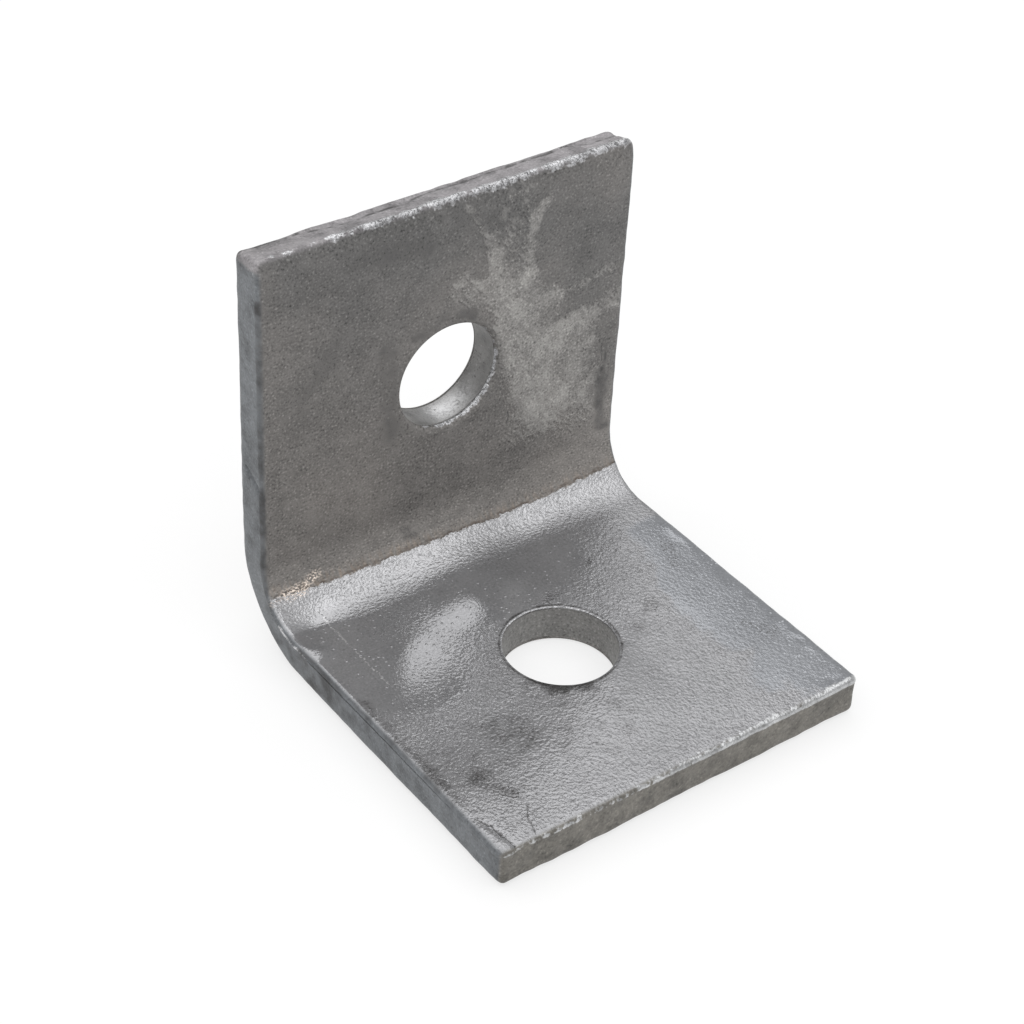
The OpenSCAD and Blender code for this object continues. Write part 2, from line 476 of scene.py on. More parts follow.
@dataclass(frozen=True)
class Marks:
    """Where the zinc of this bracket ran, dulled and was hurt, and where warm glints are painted, as strokes on the
    inner face.
    """

    tide: Points = (
        (-26.0, 44.4), (-24.9, 44.6), (-20.0, 45.4), (-14.4, 45.8), (-10.6, 45.8), (-2.0, 46.0),
        (5.6, 46.3), (10.7, 46.3), (17.4, 46.0), (24.4, 45.6), (26.0, 45.5))
    stain: Points = (
        (-25.0, 0.9), (-19.0, 1.0), (-14.0, 1.0), (-5.0, 0.8), (0.0, 0.3), (4.0, 0.6), (7.0, 0.9),
        (10.0, 0.5), (25.0, 0.5))
    seam: Points = (
        (-25.0, 0.5), (-17.8, 0.8), (-13.5, 1.9), (-7.2, 1.65), (-4.6, 1.9), (-1.1, 1.05), (2.8, 1.25),
        (6.2, 1.2), (10.4, 1.0), (15.0, 1.1), (18.0, 0.6), (20.2, 2.2), (25.0, 2.3))
    front_lip: Points = ((-25.0, 0.0), (-8.0, 0.1), (2.0, 0.3), (10.0, 0.4), (18.0, 0.35), (25.0, 0.8))
    clouds: tuple[Stroke, ...] = (
        Stroke(((2.0, 0.8), (3.8, 4.3), (5.3, 7.3), (5.7, 10.5)), 0.8, 0.5),
        Stroke(((13.5, 2.0), (10.8, 4.7), (10.7, 8.5), (11.3, 12.5)), 0.8, 0.45),
        Stroke(((8.2, 2.0), (8.4, 12.0)), 3.6, 0.35),
        Stroke(((1.7, 11.2), (6.7, 13.5), (14.0, 16.5)), 2.6, 0.5),
        Stroke(((9.4, 17.5), (10.6, 23.0), (13.5, 31.0)), 3.8, 0.9),
        Stroke(((17.0, 23.0), (19.0, 30.0)), 3.8, 0.6),
        Stroke(((14.4, 23.0), (18.6, 20.9), (23.8, 20.2)), 1.9, 0.5),
        Stroke(((15.2, 16.4), (19.7, 15.7), (23.5, 15.2)), 0.7, 0.45),
        Stroke(((10.0, 33.0), (20.0, 35.0)), 2.8, 0.35),
    )
    soils: tuple[Stroke, ...] = (
        Stroke(((22.5, 30.2), (22.9, 37.8)), 1.1, 0.5),
        Stroke(((22.3, 25.9), (23.1, 26.5), (22.9, 29.2)), 0.5, 0.6),
        Stroke(((-8.5, 16.0), (-8.2, 27.0)), 1.6, 0.3),
        Stroke(((-5.0, 15.4), (-1.0, 14.2), (3.0, 14.5)), 0.9, 0.4),
        Stroke(((-12.0, 3.0), (-4.0, 3.5)), 1.8, 0.3),
        Stroke(((7.2, 73.8), (10.2, 71.8), (13.6, 69.2)), 1.1, 0.35),
        Stroke(((-6.6, 73.6), (-4.6, 75.7), (-0.9, 77.7)), 1.0, 0.5),
        Stroke(((-12.6, 75.8), (-13.1, 79.9)), 2.8, 0.12),
        Stroke(((-17.0, 79.0), (-3.0, 83.0)), 7.5, 0.24),
        Stroke(((-20.3, 82.1), (-18.4, 85.5)), 2.0, 0.28),
        Stroke(((-24.3, 66.0), (-24.3, 84.0)), 0.8, 0.35),
        Stroke(((-24.9, 4.0), (-24.9, 44.0)), 0.5, 0.5),
    )
    pitted: tuple[Stroke, ...] = (
        Stroke(((12.1, 59.2), (11.7, 60.0)), 0.8, 1.0),
        Stroke(((4.7, 61.9), (3.0, 62.6)), 0.9, 0.9),
        Stroke(((8.2, 66.4), (8.5, 67.2)), 0.6, 0.7),
        Stroke(((13.4, 69.6), (13.0, 70.6)), 0.7, 0.7),
        Stroke(((21.7, 62.3), (20.4, 65.6)), 1.2, 0.7),
        Stroke(((20.4, 78.3), (22.0, 81.5)), 1.4, 0.7),
        Stroke(((-16.4, 57.0), (-12.0, 59.0)), 1.2, 0.5),
        Stroke(((-21.0, 80.0), (-19.0, 90.0)), 2.2, 0.5),
        Stroke(((17.8, 21.9), (17.9, 22.6)), 0.6, 0.9),
        Stroke(((-19.8, 18.4), (-15.0, 12.0)), 1.4, 0.6),
        Stroke(((0.0, 1.5), (8.0, 4.0)), 1.3, 0.6),
        Stroke(((-6.0, 42.6), (-5.0, 44.0)), 0.8, 0.9),
    )
    calm: tuple[Stroke, ...] = (
        Stroke(((-22.0, 54.0), (-19.0, 66.0)), 6.0, 1.0),
        Stroke(((-16.0, 65.0), (-11.0, 61.0), (-4.0, 57.0)), 6.5, 0.9),
        Stroke(((-4.0, 58.0), (9.0, 58.0)), 4.5, 0.75),
    )
    smooth: tuple[Stroke, ...] = (
        Stroke(((23.5, 61.0), (23.0, 72.0), (24.0, 91.0)), 6.0, 1.0),
        Stroke(((18.5, 69.0), (18.0, 78.0)), 3.5, 0.8),
        Stroke(((16.0, 87.0), (21.0, 85.0)), 3.0, 0.8),
    )
    # Painted warm glints at the left end of the tide line
    warm_glint: tuple[Stroke, ...] = (
        Stroke(((-24.4, 45.2), (-21.0, 45.2), (-19.0, 43.9)), 0.9, 1.0),
    )
    scratches: tuple[Stroke, ...] = (
        Stroke(((-20.1, 50.4), (-20.0, 64.9)), 0.1, 0.8),
        Stroke(((-21.3, 46.8), (-21.6, 51.4)), 0.1, 0.6),
    )
    cracks: tuple[Stroke, ...] = (
        Stroke(((-24.2, 86.9), (-23.4, 88.4), (-23.2, 90.4), (-22.8, 93.0)), 0.12, 0.75),
        Stroke(((-18.2, 88.0), (-19.4, 89.7), (-20.1, 92.0)), 0.09, 0.6),
        Stroke(((8.6, 30.6), (8.7, 31.9)), 0.1, 0.7),
        Stroke(((22.2, 25.6), (22.5, 28.2)), 0.1, 0.7),
    )


@dataclass
class ZincCoat:
    """What the hot zinc and the bar under it left on the surface."""

    shell: BarShell
    marks: Marks = Marks()
    places: Array = field(init=False)
    inner: Array = field(init=False)
    side: Array = field(init=False)
    cut: Array = field(init=False)

    def __post_init__(self) -> None:
        """Sorts the skin into faces, long sides and cut ends."""
        shell = self.shell
        bar = shell.grid.bar
        self.places = np.column_stack([shell.across, shell.along, shell.deep])
        self.inner = (shell.skin == Skin.INNER.value).astype(float)
        on_edge = np.where(shell.skin == Skin.RIM.value, 1.0, 1 - smooth_step(0.1, 0.6, shell.edge))
        from_end = np.minimum(shell.along, bar.length - shell.along)
        at_end = 1 - smooth_step(0.1, 0.6, from_end)
        self.cut = on_edge * at_end
        self.side = on_edge * (1 - at_end)

    def _on_line(self, line: Points) -> Array:
        """Reads a line's value at each place across the bar."""
        return np.interp(self.shell.across, [p[0] for p in line], [p[1] for p in line])

    def _total(self, strokes: tuple[Stroke, ...]) -> Array:
        """Adds up strokes on the inner face, with borders that stray.

        Args:
            strokes: Marks to add up.

        Returns:
            Strength from 0 to 1 at each vertex.
        """
        wobble = 0.9 * waves(self.places, 3.0, 5.5) + 0.6 * waves(self.places, 1.1, 8.5)
        shell = self.shell
        return self.inner * np.clip(sum(m.mask(shell.across, shell.along, wobble) for m in strokes), 0, 1)

    def tide_gap(self) -> Array:
        """Measures how far each place lies past the line where the bright zinc starts."""
        gap = self.shell.along - self._on_line(self.marks.tide)
        return np.where(self.inner > 0, gap, -20.0)

    def bead_gap(self) -> Array:
        """Measures how far each place lies inside the beads that zinc set in along edges and rims.

        Returns:
            Distances in millimetres, negative outside.
        """
        shell, bar = self.shell, self.shell.grid.bar
        x, s, t = self.places.T
        wall = shell.skin == Skin.RIM.value
        inner = self.inner > 0
        none = -5.0
        top = np.where(inner, -0.5 - s, np.where(wall & (s < 1), t - 3.6, none)) + np.interp(x, (-25, -12, 0), (-0.6, -0.25, 0.0))
        lip = self._on_line(self.marks.front_lip)
        over = np.where(inner, s - bar.length + lip, np.where(wall & (s > bar.length - 1), t - bar.thickness + 0.3, none))
        front = 1.5 * over
        beside = np.interp(s, (46, 49, 55, 68), (-1, 0.06, 0.05, -0.6))
        left = np.where((x < 0) & inner, 8 * (beside - shell.edge), none)
        # Hole rims: bead lines that only colour the rims, since the relief leaves rims out; they reach further on the
        # upright hole's lower right and the base hole's back rim, as a painted highlight
        low = np.clip((x + s - bar.holes[0]) / (math.sqrt(2) * bar.hole_r), -1, 1)
        first = np.where(inner & (s < bar.straights[0]), 3 * (0.15 * low - shell.rim), none)
        second = np.where(inner & (s > bar.straights[0]), 3 * (0.1 * (bar.holes[1] - s) / bar.hole_r - shell.rim), none)
        return np.maximum.reduce([top, front, left, first, second])

    def dish(self) -> Array:
        """Gives the base's low hollow left of its hole, which is told by what it mirrors.

        Returns:
            Heights in millimetres, too low to show except in reflections.
        """
        x, s = self.shell.across, self.shell.along
        u, v = x + 10.0, s - 63.0
        bowl = -0.45 + 0.083 * u - 0.0273 * v + 0.00246 * u**2 + 0.00034 * u * v + 0.00295 * v**2
        near = (1 - smooth_step(-4.0, 8.0, x)) * smooth_step(40.0, 54.0, s) * (1 - smooth_step(74.0, 89.0, s))
        curl = 0.03 * np.clip(-18.5 - x, 0, None)**2 * smooth_step(43.0, 47.0, s) * (1 - smooth_step(53.0, 58.0, s))
        return self.inner * (bowl * near + curl)

    def relief(self) -> Array:
        """Adds up how far the skin stands proud of the plain bar.

        Returns:
            Heights in millimetres.
        """
        shell = self.shell
        x, s, t = self.places.T
        calm = self._total(self.marks.calm + self.marks.smooth)
        lumps = (0.05 * waves(self.places, 9.0, 3.1) + 0.022 * waves(self.places, 3.2, 17.7)) * (1 - 0.85 * calm)
        near_edge = 1 - smooth_step(0.4, 2.2, np.where(shell.skin == Skin.RIM.value, 0.0, shell.edge))
        ends = 1 - smooth_step(0.5, 3.0, np.minimum(s, shell.grid.bar.length - s))
        wavy = near_edge * (0.6 + 0.4 * ends) * (0.09 * waves(self.places, 4.5, 61.9) + 0.07 * waves(self.places, 1.5, 77.7))
        inside = smooth_step(0.0, 0.8, np.minimum(shell.edge, shell.rim))
        tide = self.inner * 0.05 * inside * smooth_step(-0.3, 0.3, self.tide_gap() + 0.3 * waves(self.places, 1.2, 12.3))
        strays = 0.4 * waves(self.places, 2.6, 40.1) + 0.15 * waves(self.places, 1.2, 44.3)
        bead = 0.08 * (shell.rim > 2) * smooth_step(-0.2, 0.3, self.bead_gap() + strays)
        crease = self.marks.cracks[0].gap(x, s)
        left_of_crease = smooth_step(0.0, 0.35, np.interp(s, (86.9, 93.0), (-24.2, -22.8)) - x)
        lap = self.inner * smooth_step(86.5, 88.5, s) * (0.14 * left_of_crease - 0.12 * np.exp(-(crease / 0.3)**2))
        nick = np.hypot((s - 27.9) * 0.8 - (t - 2.9) * 0.5, 0.0)
        nick = (x < -24.9) * (abs(t - 2.9) < 1.2) * (abs(s - 27.9) < 1.2) * np.exp(-(nick / 0.25)**2)
        shear = (s < 0.3) * (shell.skin == Skin.RIM.value) * 0.12 * (
            1 - smooth_step(-0.2, 0.2, t - self._on_line(self.marks.seam) + 0.25 * waves(self.places, 2.2, 9.7)))
        return lumps + wavy + tide + bead + lap - 0.3 * nick - shear

    def masks(self) -> dict[str, Array]:
        """Says where each kind of zinc lies, and where shade and highlights are painted.

        Returns:
            Strength of each mark, or distance to it, at each vertex, by name.
        """
        shell, marks, bar = self.shell, self.marks, self.shell.grid.bar
        x, s, t = self.places.T
        calm, smooth = self._total(marks.calm), self._total(marks.smooth)
        fillet = smooth_step(43.0, 46.0, s) * (1 - smooth_step(48.0, 53.0, s))
        bore = shell.skin == Skin.BORE.value
        # Painted highlight: a pale spot low in the upright's hole, which is also made shinier
        bore_highlight = bore * (s > bar.holes[0]) * (s < bar.straights[0]) * np.exp(-((x - 1.3) / 3.2)**2 - ((t - 2.2) / 2.0)**2)
        high = np.clip((x - s + bar.holes[0]) / (math.sqrt(2) * bar.hole_r), -1, 1)
        upright = s < bar.straights[0]
        # Painted shade: a dark ring round each hole on the inner face, strongest at the upper right of the upright hole
        rim_shade = self.inner * np.where(upright, 0.4 * (0.6 + 0.4 * high) * np.exp(-((shell.rim - 0.6) / 0.5)**2),
                                     1.9 * np.exp(-((shell.rim - 0.3) / 0.2)**2))
        return {
            "tide": self.tide_gap(),
            "bead": self.bead_gap(),
            "seam": np.where((s < 0.4) & (self.inner == 0), t - self._on_line(marks.seam), 5.0),
            "stain": self.inner * self._on_line(marks.stain),
            "warm_glint": self._total(marks.warm_glint),
            "cloud": self._total(marks.clouds),
            # Real dirt strokes, plus painted shade: the rings round the holes, the base's long sides near the bend and
            # the inside of the upright hole
            "soil_and_shade": np.clip(self._total(marks.soils) + 0.34 * rim_shade + 0.5 * self.side * np.exp(-((s - 56) / 8)**2) + 0.35 * bore * upright, 0, 1),
            "pitted": self._total(marks.pitted),
            "peel": np.where(bore, 0.15, np.clip(1 + 0.2 * fillet - 0.9 * calm, 0.1, 1.2)),
            # Fillet band inside the bend: where a paler colour is painted as a highlight, and the roughness is raised a
            # little
            "fillet_sheen": fillet,
            "lip": smooth_step(86.0, 90.0, s),
            "side": self.side,
            "cut": self.cut,
            # Ramp from the upright's top towards the bend, tilted to the left: it carries painted light and shade on
            # the dull zinc and on the cut ends
            "low": smooth_step(0.0, 42.0, s - 0.3 * x),
            "smooth": smooth * smooth_step(55.0, 58.0, s),
            "bore": bore * 1.0,
            "bore_highlight": bore_highlight,
            "dish": self.dish(),
        }


def add(tree: bpy.types.NodeTree, kind: str, settings: dict | None = None, out: object = 0,
        **links: object) -> bpy.types.NodeSocket:
    """Adds a node with its settings and links.

    Args:
        tree: Node tree to add to.
        kind: Node type, without its "ShaderNode" start.
        settings: Values of the node's own properties.
        out: Name or number of the output that is wanted.
        **links: Inputs by name, or by number after an underscore: a socket to link, or a value.

    Returns:
        The node's output.
    """
    node = tree.nodes.new("ShaderNode" + kind)
    for name, value in (settings or {}).items():
        setattr(node, name, value)
    for name, value in links.items():
        socket = node.inputs[int(name[1:])] if name[0] == "_" else node.inputs[name.replace("_", " ")]
        if isinstance(value, bpy.types.NodeSocket):
            tree.links.new(value, socket)
        else:
            socket.default_value = value
    return node.outputs[out] if len(node.outputs) else None


TIMES = {"operation": "MULTIPLY"}
TIMES_PLUS = {"operation": "MULTIPLY_ADD"}
LARGER = {"operation": "MAXIMUM"}
SOFT = {"interpolation_type": "SMOOTHSTEP"}
BLEND = {"data_type": "RGBA"}
DIVIDE = {"operation": "DIVIDE"}
TURN = {"rotation_type": "Z_AXIS"}


@dataclass(frozen=True)
class HotDipZinc:
    """Zinc that ran and set on bent steel: dull and speckled where it went into the steel, else bright.

    To the eye the bright zinc is a soft mirror with an orange peel that sparkles at the
    border of a light. The dull zinc is nearly matt, with fine pale and dark specks.
    """

    # One dull zinc as two colours: painted shade at the upright's top, painted light lower down and to the left
    dull_shaded_top: str = "#666564"
    dull_lit_lower: str = "#7f7c79"
    warm: str = "#756f6a"
    cloud: str = "#9d9b98"
    bright: str = "#99999b"
    # Paler zinc colour: painted highlight along the fillet band, and the colour of most edge and rim beads
    bright_sheen: str = "#b8b8ba"
    smooth: str = "#94969a"
    side: str = "#66696c"
    # One cut-end zinc as two colours: painted light on the upright's top end, painted shade on the base's front end
    cut_lit_top: str = "#8a8789"
    cut_shaded_front: str = "#706d67"
    bore: str = "#7a7977"
    # Colour of the painted highlight low in the upright's hole
    bore_highlight: str = "#c2c2c3"
    # Bead colour near the base's front edge: partly painted highlight
    lip: str = "#b9babb"
    # Dark colour for dirt, painted shade, cracks, pits and the shear seam
    soil_and_shade: str = "#4a4949"
    rust: str = "#4e443c"
    stain: str = "#8b8076"
    # Colour of the painted warm glints
    warm_glint: str = "#d3c6bb"
    scratch: str = "#cfcfd0"
    dull_roughness: float = 0.46
    bright_roughness: float = 0.05
    peel_roughness: float = 0.05
    satin_roughness: float = 0.05
    dull_metal: float = 0.3
    bright_metal: float = 0.6
    drift_mm: float = 13.0
    mottle_mm: float = 2.2
    stray_mm: float = 1.2
    grain_mm: float = 0.29
    speck_mm: float = 0.62
    stroke_mm: tuple[float, float, float] = (0.4, 1.2, 0.4)
    streak_mm: tuple[float, float, float] = (0.35, 2.2, 0.35)
    peel_mm: tuple[float, float, float] = (0.34, 0.38, 0.34)
    peel_high_mm: float = 0.12
    pimple_high_mm: float = 0.045
    grain_high_mm: float = 0.045
    crust_high_mm: float = 0.1
    flake_high_mm: float = 0.07
    bead_mm: float = 0.28
    bead_high_mm: float = 0.1

    def make(self, marks: Marks, thickness: float) -> bpy.types.Material:
        """Builds the material.

        Args:
            marks: Fine lines that are too thin for the mesh.
            thickness: Depth of the inner face, where those lines lie.

        Returns:
            A node material that reads the masks on the mesh.
        """
        material = bpy.data.materials.new("hot_dip_zinc")
        material.use_nodes = True
        tree = material.node_tree
        tree.nodes.clear()
        flat = add(tree, "Attribute", {"attribute_name": "flat"}, "Vector")
        mask = {name: add(tree, "Attribute", {"attribute_name": name}, "Fac")
                for name in ("tide", "bead", "seam", "stain", "warm_glint", "cloud", "soil_and_shade", "pitted", "peel", "side", "cut",
                             "low", "smooth", "bore", "bore_highlight", "dish", "fillet_sheen", "lip")}
        drift = add(tree, "TexNoise", Vector=flat, Scale=1 / self.drift_mm, Detail=3.0)
        mottle = add(tree, "TexNoise", Vector=flat, Scale=1 / self.mottle_mm, Detail=4.0)
        stray = add(tree, "TexNoise", Vector=flat, Scale=1 / self.stray_mm, Detail=2.0)
        grain = add(tree, "TexNoise", Vector=flat, Scale=1 / self.grain_mm, Detail=2.0)
        speck = add(tree, "TexVoronoi", None, "Distance", Vector=flat, Scale=1 / self.speck_mm)
        lot = add(tree, "TexVoronoi", None, "Color", Vector=flat, Scale=1 / self.speck_mm)
        slanted = add(tree, "VectorRotate", TURN, Vector=flat, Angle=math.radians(38.0))
        slanted = add(tree, "VectorMath", DIVIDE, _0=slanted, _1=self.stroke_mm)
        strokes = add(tree, "TexNoise", Vector=slanted, Scale=1.0, Detail=2.0)
        hanging = add(tree, "VectorMath", DIVIDE, _0=flat, _1=self.streak_mm)
        streaks = add(tree, "TexNoise", Vector=hanging, Scale=1.0, Detail=2.0)
        pebbled = add(tree, "VectorMath", DIVIDE, _0=flat, _1=self.peel_mm)
        peel = add(tree, "TexNoise", Vector=pebbled, Scale=1.0, Detail=2.0, Roughness=0.5)
        bead_grain = add(tree, "TexNoise", Vector=flat, Scale=1 / self.bead_mm, Detail=2.0)
        scratch = self._lines(tree, flat, marks.scratches, thickness)
        crack = self._lines(tree, flat, marks.cracks, thickness)

        stray_gap = add(tree, "Math", TIMES_PLUS, _0=stray, _1=1.3, _2=-0.65)
        stray_gap = add(tree, "Math", TIMES_PLUS, _0=grain, _1=0.6, _2=stray_gap)
        gap = add(tree, "Math", {"operation": "ADD"}, _0=stray_gap, _1=mask["tide"])
        bright = add(tree, "MapRange", SOFT, Value=gap, From_Min=0.2, From_Max=0.5)
        line = add(tree, "MapRange", SOFT, Value=gap, From_Min=-0.5, From_Max=0.1)
        line = add(tree, "Math", TIMES, _0=line, _1=add(tree, "MapRange", Value=stray, From_Min=0.35, From_Max=0.6, To_Max=0.75))
        hang = add(tree, "MapRange", SOFT, Value=mask["tide"], From_Min=-2.6, From_Max=-0.4)
        hang = add(tree, "Math", TIMES, _0=hang, _1=add(tree, "MapRange", Value=streaks, From_Min=0.4, From_Max=0.7))
        hang = add(tree, "Math", TIMES, _0=hang, _1=mask["stain"])
        edge_gap = add(tree, "Math", TIMES_PLUS, _0=stray_gap, _1=1.7, _2=mask["bead"])
        # Beads along edges and rims: real zinc beads, painted paler, partly as a painted highlight
        bead = add(tree, "MapRange", SOFT, Value=edge_gap, From_Min=0.35, From_Max=0.75)
        # Painted warm glints, broken up by grain
        glint = add(tree, "Math", TIMES, _0=mask["warm_glint"], _1=add(tree, "MapRange", Value=grain, From_Min=0.47, From_Max=0.6))
        shiny = add(tree, "Math", LARGER, _0=bright, _1=add(tree, "Math", LARGER, _0=bead, _1=mask["bore_highlight"]))
        rim = add(tree, "Math", LARGER, _0=mask["side"], _1=mask["cut"])
        keep = add(tree, "Math", {"operation": "SUBTRACT"}, _0=1.0, _1=rim)
        shiny = add(tree, "Math", LARGER, _0=add(tree, "Math", TIMES, _0=shiny, _1=keep), _1=bead)

        flake = add(tree, "Math", TIMES_PLUS, _0=strokes, _1=0.9, _2=mask["cloud"])
        flake = add(tree, "Math", TIMES_PLUS, _0=stray_gap, _1=0.45, _2=flake)
        flake = add(tree, "MapRange", SOFT, Value=flake, From_Min=0.75, From_Max=1.15)
        frost = add(tree, "Math", TIMES_PLUS, _0=grain, _1=0.15, _2=strokes)
        frost = add(tree, "Math", TIMES_PLUS, _0=mottle, _1=0.75, _2=frost)
        frost = add(tree, "MapRange", Value=frost, From_Min=0.7, From_Max=1.2, To_Min=0.3, To_Max=1.0)
        frost = add(tree, "Math", TIMES, _0=frost, _1=flake)
        frost = add(tree, "Math", TIMES, _0=frost, _1=add(tree, "MapRange", Value=mask["cloud"], To_Min=0.1))
        # Dirt and painted shade from the dark mask, broken up by grain and mottle
        dirt_and_shade = add(tree, "Math", TIMES_PLUS, _0=grain, _1=1.0, _2=mask["soil_and_shade"])
        dirt_and_shade = add(tree, "Math", TIMES_PLUS, _0=mottle, _1=1.0, _2=dirt_and_shade)
        dirt_and_shade = add(tree, "MapRange", SOFT, Value=dirt_and_shade, From_Min=1.15, From_Max=1.85)
        pit = add(tree, "Math", TIMES_PLUS, _0=mask["pitted"], _1=0.31, _2=grain)
        pit = add(tree, "MapRange", SOFT, Value=pit, From_Min=0.72, From_Max=0.86, To_Max=0.7)
        plate = add(tree, "Math", TIMES_PLUS, _0=mottle, _1=0.8, _2=mask["smooth"])
        plate = add(tree, "Math", TIMES_PLUS, _0=stray_gap, _1=0.4, _2=plate)
        plate = add(tree, "MapRange", SOFT, Value=plate, From_Min=0.75, From_Max=1.3)
        rippled = add(tree, "Math", TIMES_PLUS, _0=plate, _1=-0.88, _2=1.0)
        rippled = add(tree, "Math", TIMES, _0=rippled, _1=mask["peel"])
        seam = add(tree, "Math", TIMES_PLUS, _0=stray_gap, _1=0.5, _2=mask["seam"])
        seam = add(tree, "Math", {"operation": "ABSOLUTE"}, _0=seam)
        seam = add(tree, "MapRange", SOFT, Value=seam, From_Min=0.08, From_Max=0.45, To_Min=0.95, To_Max=0.0)
        seam = add(tree, "Math", TIMES, _0=seam, _1=add(tree, "MapRange", Value=stray, From_Min=0.36, From_Max=0.56))
        hurt = add(tree, "Math", LARGER, _0=crack, _1=add(tree, "Math", LARGER, _0=pit, _1=seam))

        # Painted light and shade: the dull zinc is darker at the upright's top and lighter towards the bend and on the
        # left
        colour = add(tree, "Mix", BLEND, 2, _0=mask["low"], _6=linear(self.dull_shaded_top), _7=linear(self.dull_lit_lower))
        haze = add(tree, "MapRange", Value=drift, From_Min=0.45, From_Max=0.7, To_Max=0.2)
        # Bead colour: paler than the zinc, partly a painted highlight on real beads
        lip = add(tree, "Mix", BLEND, 2, _0=mask["lip"], _6=linear(self.bright_sheen), _7=linear(self.lip))
        # Cut ends: painted light on the top end, painted shade on the front end
        end = add(tree, "Mix", BLEND, 2, _0=mask["low"], _6=linear(self.cut_lit_top), _7=linear(self.cut_shaded_front))
        # Painted highlight: the bright zinc along the fillet band is painted paler
        bright_sheen = add(tree, "Math", TIMES, _0=bright, _1=mask["fillet_sheen"])
        for part, tint in ((haze, self.warm), (frost, self.cloud), (hang, self.stain), (line, self.rust),
                           (bright, self.bright), (bright_sheen, self.bright_sheen), (plate, self.smooth), (mask["bore"], self.bore),
                           (mask["side"], self.side), (mask["cut"], end), (mask["bore_highlight"], self.bore_highlight),
                           (bead, lip), (glint, self.warm_glint), (dirt_and_shade, self.soil_and_shade), (hurt, self.soil_and_shade)):
            colour = add(tree, "Mix", BLEND, 2, _0=part, _6=colour, _7=linear(tint) if isinstance(tint, str) else tint)
        scratch = add(tree, "Math", TIMES, _0=scratch, _1=add(tree, "MapRange", Value=grain, From_Min=0.4, From_Max=0.6))
        colour = add(tree, "Mix", BLEND, 2, _0=scratch, _6=colour, _7=linear(self.scratch))

        spot = add(tree, "MapRange", SOFT, Value=speck, From_Min=0.1, From_Max=0.3, To_Min=1.0, To_Max=0.0)
        spot = add(tree, "Math", TIMES, _0=spot, _1=add(tree, "MapRange", Value=lot, From_Min=0.5, From_Max=0.75))
        fleck = add(tree, "MapRange", SOFT, Value=grain, From_Min=0.6, From_Max=0.76)
        hollow = add(tree, "MapRange", SOFT, Value=grain, From_Min=0.28, From_Max=0.4, To_Min=1.0, To_Max=0.0)
        tone = add(tree, "Math", TIMES_PLUS, _0=drift, _1=0.9, _2=-1.5)
        for part, weight in ((mottle, 0.65), (stray, 0.3), (grain, 1.3), (fleck, 0.7), (spot, 0.4), (hollow, -0.3)):
            tone = add(tree, "Math", TIMES_PLUS, _0=part, _1=weight, _2=tone)
        pebbles = add(tree, "Math", TIMES, _0=shiny, _1=rippled)
        dull = add(tree, "Math", TIMES_PLUS, _0=shiny, _1=-0.65, _2=1.0)
        # Painted shade in the hollows of the orange peel
        peel_hollow_shade = add(tree, "MapRange", SOFT, Value=peel, From_Min=0.3, From_Max=0.46, To_Min=-0.22, To_Max=0.0)
        even = add(tree, "Math", TIMES_PLUS, _0=rim, _1=-0.35, _2=1.0)
        tone = add(tree, "Math", TIMES, _0=tone, _1=even)
        tone = add(tree, "Math", TIMES_PLUS, _0=tone, _1=dull, _2=1.0)
        blotch = add(tree, "MapRange", Value=mottle, From_Min=0.4, From_Max=0.66, To_Min=0.15, To_Max=-0.4)
        tone = add(tree, "Math", TIMES_PLUS, _0=blotch, _1=rim, _2=tone)
        tone = add(tree, "Math", TIMES_PLUS, _0=peel_hollow_shade, _1=pebbles, _2=tone)
        tone = add(tree, "Math", TIMES_PLUS, _0=add(tree, "Math", TIMES, _0=spot, _1=0.35), _1=plate, _2=tone)
        # Painted shade in the hollows of the bead's grain, and a little painted light on its lumps
        bead_hollow_shade = add(tree, "MapRange", SOFT, Value=bead_grain, From_Min=0.38, From_Max=0.5, To_Min=-0.5, To_Max=0.1)
        rough_bead = add(tree, "Math", TIMES_PLUS, _0=mask["lip"], _1=-0.75, _2=1.0)
        rough_bead = add(tree, "Math", TIMES, _0=rough_bead, _1=bead)
        tone = add(tree, "Math", TIMES_PLUS, _0=bead_hollow_shade, _1=rough_bead, _2=tone)
        tone = add(tree, "CombineColor", Red=tone, Green=tone, Blue=tone)
        colour = add(tree, "Mix", {"data_type": "RGBA", "blend_type": "MULTIPLY"}, 2, _0=1.0, _6=colour, _7=tone)

        polish = add(tree, "Math", TIMES_PLUS, _0=rippled, _1=self.peel_roughness,
                     _2=self.bright_roughness - self.dull_roughness)
        rough = add(tree, "Math", TIMES_PLUS, _0=shiny, _1=polish, _2=self.dull_roughness)
        rough = add(tree, "Math", TIMES_PLUS, _0=mottle, _1=0.04, _2=rough)
        rough = add(tree, "Math", TIMES_PLUS, _0=dirt_and_shade, _1=0.15, _2=rough)
        rough = add(tree, "Math", TIMES_PLUS, _0=mask["fillet_sheen"], _1=self.satin_roughness, _2=rough)
        metal = add(tree, "Math", TIMES_PLUS, _0=shiny, _1=self.bright_metal - self.dull_metal, _2=self.dull_metal)
        pimple = add(tree, "Math", TIMES, _0=spot, _1=shiny)
        matt = add(tree, "Math", {"operation": "SUBTRACT"}, _0=1.0, _1=shiny)
        bump = add(tree, "Bump", Height=mask["dish"], Distance=MM)
        for high, far, part in ((peel, self.peel_high_mm, pebbles), (pimple, self.pimple_high_mm, 1.0),
                                (grain, self.grain_high_mm, matt), (stray, self.crust_high_mm, matt), (flake, self.flake_high_mm, matt), (bead_grain, self.bead_high_mm, rough_bead), (hurt, -0.05, 1.0)):
            bump = add(tree, "Bump", Height=high, Distance=far * MM, Strength=part, Normal=bump)
        shader = add(tree, "BsdfPrincipled", Base_Color=colour, Roughness=rough, Metallic=metal, Normal=bump)
        add(tree, "OutputMaterial", Surface=shader)
        return material

